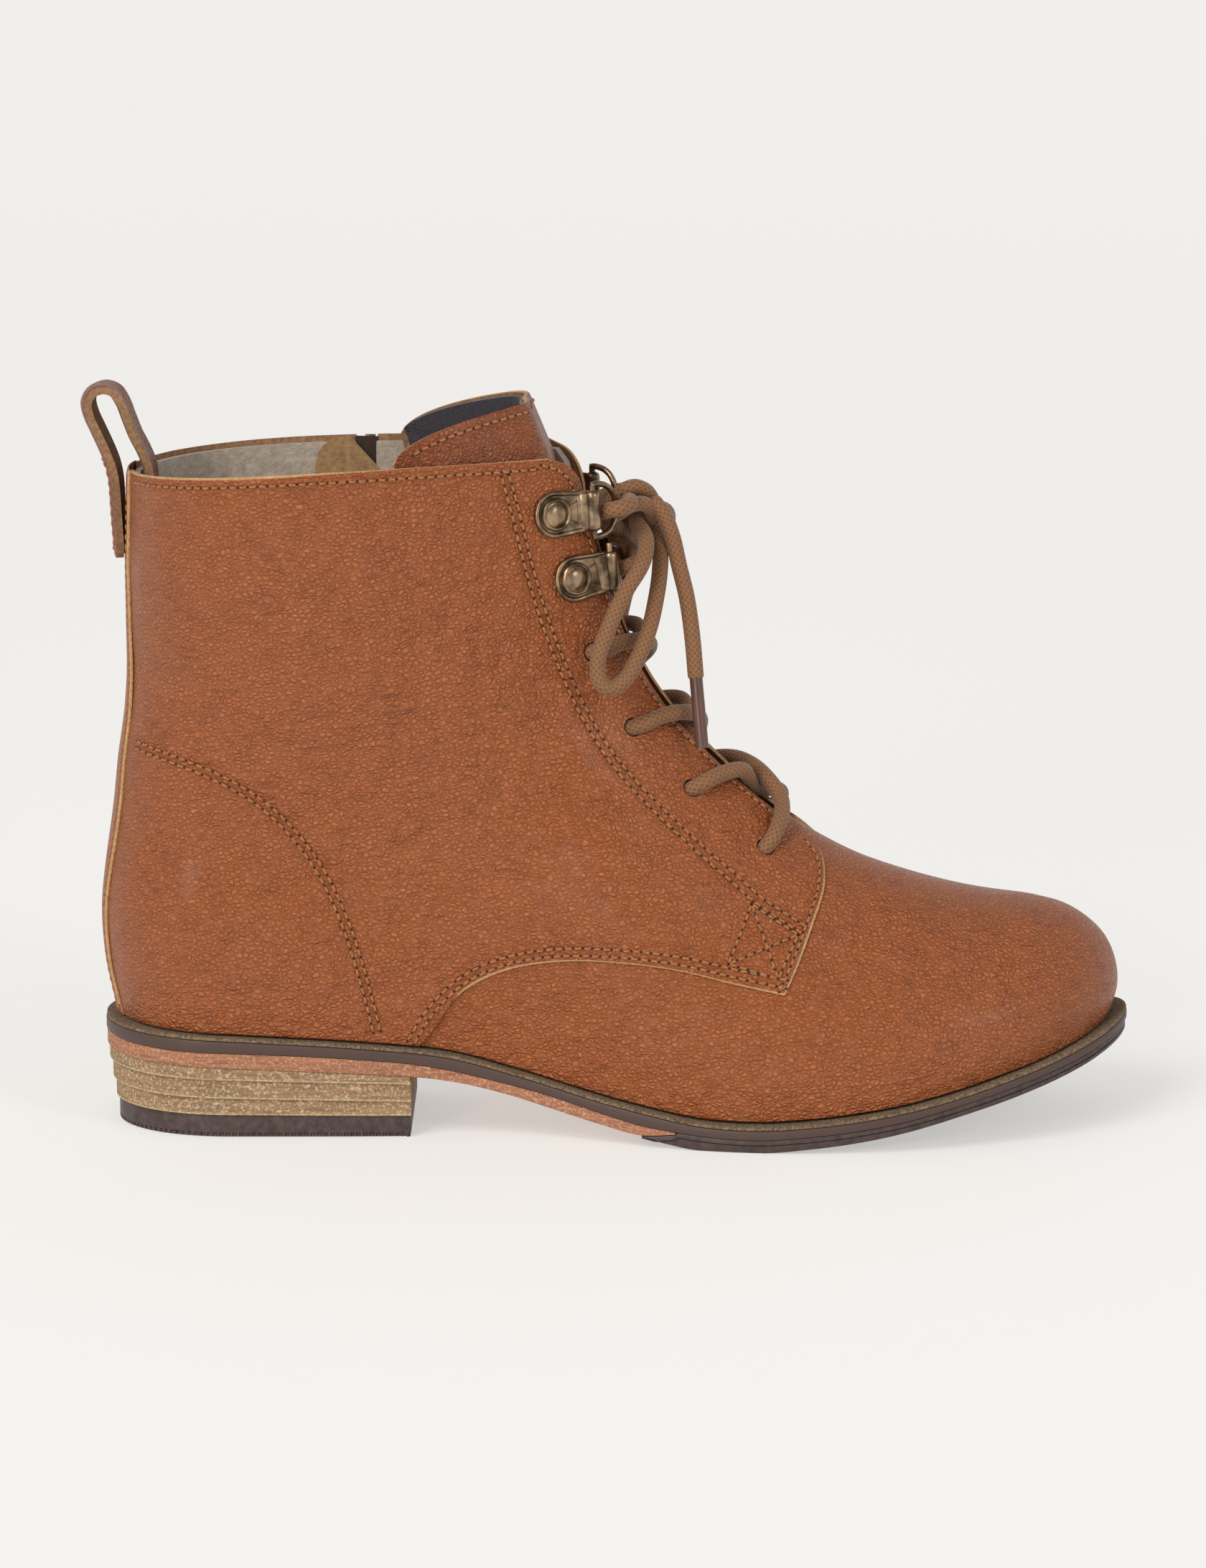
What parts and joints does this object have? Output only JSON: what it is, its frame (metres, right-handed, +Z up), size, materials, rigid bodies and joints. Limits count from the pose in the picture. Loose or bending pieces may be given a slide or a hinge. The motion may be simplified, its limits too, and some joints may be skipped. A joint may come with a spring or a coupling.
{
  "type": "ankle boot",
  "caption": "Right lace up ankle boot in tan leather with ring clips, inner side zip, back pull loop and a low stacked heel.",
  "frame": {"origin": "middle of the heel's resting face, on the floor", "axes": "+X from heel to toe, +Y to the inner (medial) side, +Z up"},
  "size_m": [0.2728, 0.0922, 0.1965],
  "materials": {
    "tan_leather": "pebbled full-grain leather, soft sheen, raw pale cut edges",
    "tan_suede": "napped suede",
    "pink_tan_leather": "smooth undyed sole leather",
    "stacked_leather": "fibrous cut edge of stacked sole leather",
    "dark_stained_edge": "dark stained edge with a pale napped top face",
    "brown_rubber": "matt dark brown rubber",
    "lining_felt": "grey pile lining",
    "antique_brass": "antiqued, worn bright on its edges",
    "brown_waxed_lace": "round braided waxed cord",
    "brown_lace_tag": "dark brown tipped tag",
    "zip_tape": "dark brown woven tape with metal teeth"
  },
  "bodies": {
    "boot": {"upper": "tan_leather", "tongue": "tan_leather", "insole": "lining_felt", "midsole": "dark_stained_edge", "waist_sole": "pink_tan_leather", "outsole": "brown_rubber", "heel_lift_1": "stacked_leather", "heel_lift_2": "stacked_leather", "heel_lift_3": "stacked_leather", "top_lift": "brown_rubber", "pull_loop": "tan_leather", "zip_strip": "zip_tape", "zip_slider": "antique_brass", "zip_guard": "tan_suede", "lace_crossings": "brown_waxed_lace", "lace_knot": "brown_waxed_lace", "lace_loop_outer": "brown_waxed_lace", "lace_loop_inner": "brown_waxed_lace", "lace_end_outer": "brown_waxed_lace", "lace_end_inner": "brown_waxed_lace", "lace_tag_outer": "brown_lace_tag", "lace_tag_inner": "brown_lace_tag", "ring_clip_lower_outer": "antique_brass", "ring_lower_outer": "antique_brass", "ring_clip_upper_outer": "antique_brass", "ring_upper_outer": "antique_brass", "ring_clip_lower_inner": "antique_brass", "ring_lower_inner": "antique_brass", "ring_clip_upper_inner": "antique_brass", "ring_upper_inner": "antique_brass"},
    "pull_tab": {"zip_pull": "antique_brass"}
  },
  "joints": [
    {"name": "pull_tab_hinge", "type": "hinge", "parent": "boot", "child": "pull_tab", "pos_m": [0.02715, 0.04316, 0.16068], "axis": [0.9906, -0.1367, 0], "range_deg": [0, 135]}
  ]
}
